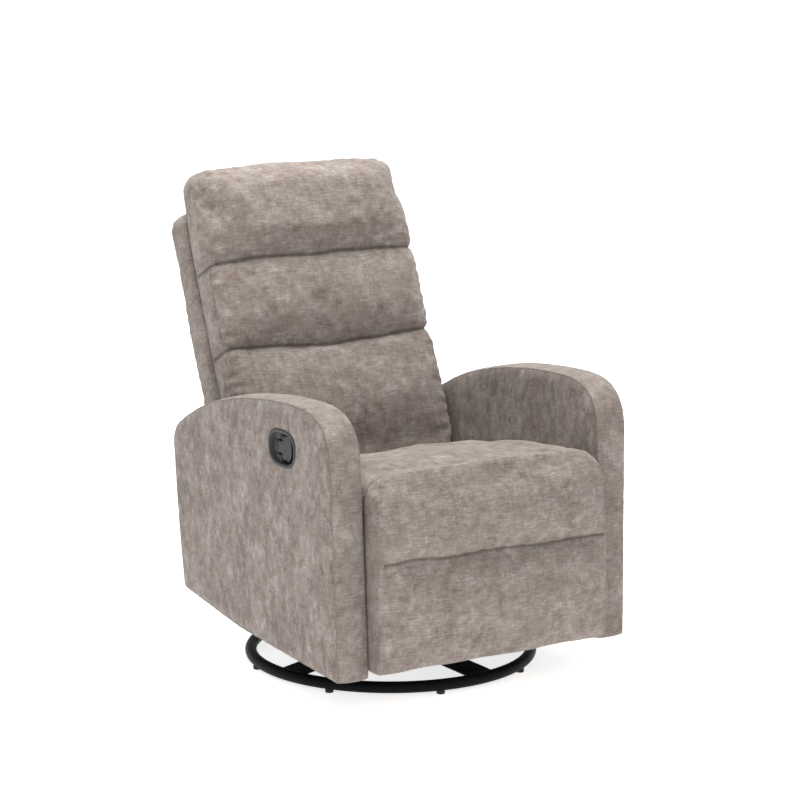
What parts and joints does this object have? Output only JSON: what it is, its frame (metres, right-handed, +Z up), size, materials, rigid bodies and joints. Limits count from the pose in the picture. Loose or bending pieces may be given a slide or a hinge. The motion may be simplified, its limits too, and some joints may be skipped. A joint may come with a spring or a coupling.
{
  "type": "swivel glider recliner",
  "caption": "Upholstered nursery armchair that swivels and glides on a round steel base, with a reclining back, a lift-up legrest and a release handle in the right arm.",
  "frame": {"origin": "on the floor under the middle of the chair's box", "axes": "+Z up, -Y the way the sitter faces, +X the sitter's left"},
  "size_m": [0.7267, 0.9475, 1.0475],
  "materials": {
    "fabric": "mottled taupe chenille",
    "black_paint": "semi-gloss black powder coat",
    "steel": "dark satin paint on pressed steel",
    "zinc": "bright zinc plate",
    "plywood": "bare plywood and pine",
    "rubber": "matte black",
    "dark_plastic": "fine moulded texture"
  },
  "bodies": {
    "base": {"base_ring": "black_paint", "base_cross": "black_paint", "foot_pad_1": "rubber", "foot_pad_2": "rubber", "foot_pad_3": "rubber", "foot_pad_4": "rubber", "foot_pad_5": "rubber", "foot_pad_6": "rubber", "foot_pad_7": "rubber", "foot_pad_8": "rubber", "bearing_race": "zinc", "bearing_lower_plate": "steel"},
    "platform": {"platform_plate": "steel", "platform_side_right": "steel", "platform_side_left": "steel", "glide_rod_front": "zinc", "glide_rod_rear": "zinc"},
    "front_glide_links": {"glide_link_front_right": "zinc", "glide_link_front_left": "zinc"},
    "rear_glide_links": {"glide_link_rear_right": "zinc", "glide_link_rear_left": "zinc"},
    "carriage": {"front_rail": "plywood", "rear_rail": "plywood", "rear_panel": "fabric", "glide_rail_right": "steel", "glide_rail_left": "steel", "mech_plate_right": "steel", "mech_plate_left": "steel", "arm_pad_right": "fabric", "arm_pad_left": "fabric", "arm_board_right": "plywood", "arm_board_left": "plywood", "handle_bezel": "dark_plastic", "release_lever_pin": "zinc", "release_cable": "rubber"},
    "seat": {"seat_cushion": "fabric", "seat_frame": "plywood", "seat_spring_1": "zinc", "seat_spring_2": "zinc", "seat_spring_3": "zinc", "seat_plate_right": "steel", "seat_plate_left": "steel"},
    "back": {"back_shell": "fabric", "back_frame": "plywood", "back_cushion": "fabric", "back_bracket_right": "steel", "back_bracket_left": "steel"},
    "legrest": {"legrest_board": "plywood", "legrest_pad": "fabric", "leg_bracket_right": "steel", "leg_bracket_left": "steel"},
    "drive_links": {"drive_tube": "steel", "drive_link_right": "zinc", "drive_link_left": "zinc"},
    "leg_links": {"leg_link_right": "zinc", "leg_link_left": "zinc"},
    "lever": {"release_lever": "dark_plastic"},
    "latch": {"release_latch": "zinc"}
  },
  "joints": [
    {"name": "swivel", "type": "hinge", "parent": "base", "child": "platform", "pos_m": [0, -0.04, 0.05], "axis": [0, 0, 1], "continuous": true},
    {"name": "glide", "type": "hinge", "parent": "platform", "child": "front_glide_links", "pos_m": [0, -0.155, 0.24], "axis": [-1, 0, 0], "range_deg": [-15, 15]},
    {"name": "glide_level", "type": "hinge", "parent": "front_glide_links", "child": "carriage", "pos_m": [0, -0.155, 0.106], "axis": [-1, 0, 0], "range_deg": [-15, 15]},
    {"name": "glide_rear", "type": "hinge", "parent": "platform", "child": "rear_glide_links", "pos_m": [0, 0.075, 0.24], "axis": [-1, 0, 0], "range_deg": [-15, 15]},
    {"name": "recline", "type": "hinge", "parent": "seat", "child": "back", "pos_m": [0, 0.115, 0.365], "axis": [-1, 0, 0], "range_deg": [0, 38]},
    {"name": "seat_slide", "type": "slide", "parent": "carriage", "child": "seat", "axis": [0, -1, 0], "range_m": [0, 0.045]},
    {"name": "legrest_swing", "type": "hinge", "parent": "seat", "child": "legrest", "pos_m": [0, -0.424, 0.478], "axis": [-1, 0, 0], "range_deg": [0, 84]},
    {"name": "drive_swing", "type": "hinge", "parent": "seat", "child": "drive_links", "pos_m": [0, -0.374, 0.29], "axis": [-1, 0, 0], "range_deg": [0, 84]},
    {"name": "link_swing", "type": "hinge", "parent": "legrest", "child": "leg_links", "pos_m": [0, -0.37, 0.344], "axis": [-1, 0, 0], "range_deg": [-84, 0]},
    {"name": "lever_pull", "type": "hinge", "parent": "carriage", "child": "lever", "pos_m": [-0.3555, -0.179, 0.535], "axis": [0, 0, -1], "range_deg": [0, 28], "stiffness_Nm_per_rad": 0.4, "springref_deg": -5.73},
    {"name": "latch_turn", "type": "hinge", "parent": "carriage", "child": "latch", "pos_m": [-0.27, -0.232, 0.268], "axis": [-1, 0, 0], "range_deg": [0, 20]}
  ],
  "couplings": [
    {"joint": "glide_level", "follows": "glide", "ratio": -1},
    {"joint": "glide_rear", "follows": "glide", "ratio": 1},
    {"joint": "seat_slide", "follows": "recline", "m_per_rad": 0.0678},
    {"joint": "drive_swing", "follows": "legrest_swing", "ratio": 1},
    {"joint": "link_swing", "follows": "legrest_swing", "ratio": -1},
    {"joint": "latch_turn", "follows": "lever_pull", "ratio": 0.7}
  ]
}
